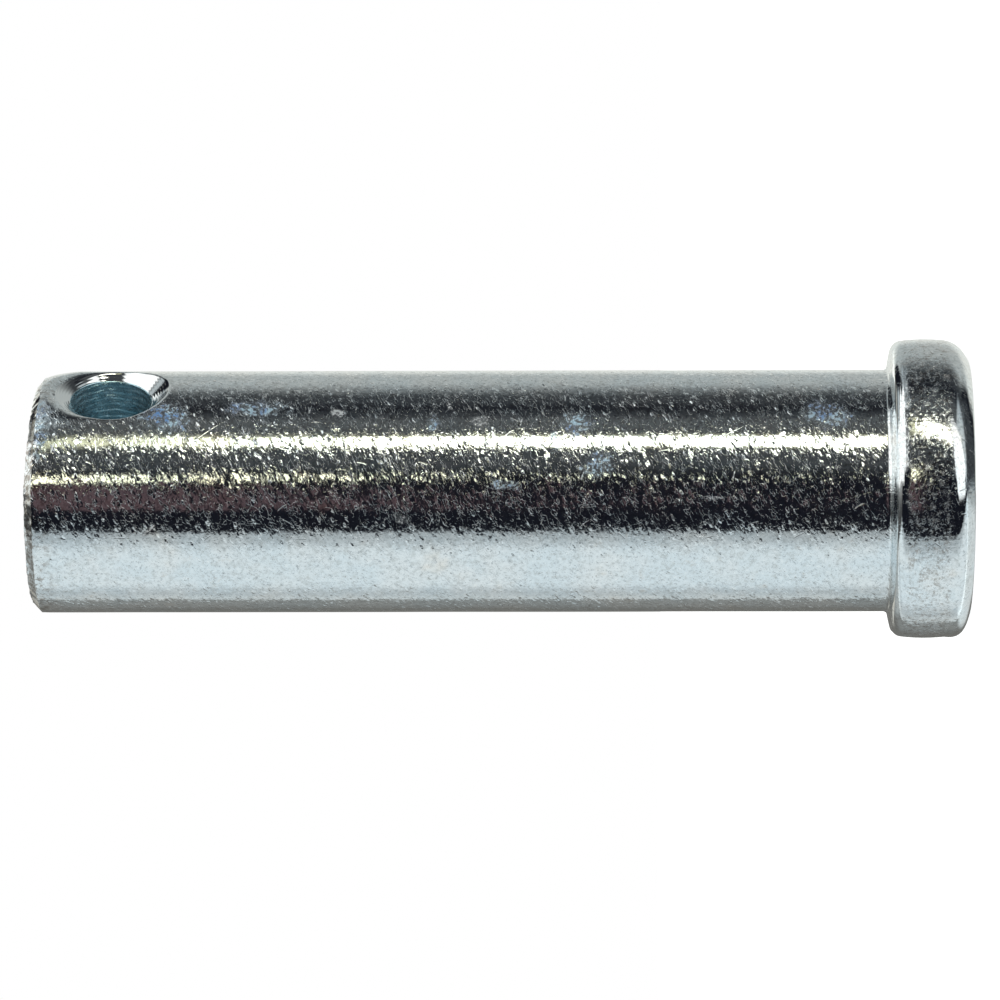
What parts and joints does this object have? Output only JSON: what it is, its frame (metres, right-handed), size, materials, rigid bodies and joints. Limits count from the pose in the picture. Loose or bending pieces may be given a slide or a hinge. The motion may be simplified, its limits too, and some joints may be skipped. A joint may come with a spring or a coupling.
{
  "type": "clevis pin",
  "caption": "Zinc-plated steel clevis pin: flat round head, straight shank, chamfered tip and a countersunk cross hole for a cotter.",
  "frame": {"origin": "centre of the head's flat outer face, on which the pin stands", "axes": "+Z along the pin from its head to its tip; the cross hole for the cotter runs along Y"},
  "size_m": [0.0156, 0.0156, 0.0484],
  "materials": {
    "zinc_plated_steel": "gloss"
  },
  "bodies": {
    "root": {"clevis_pin": "zinc_plated_steel"}
  },
  "joints": []
}
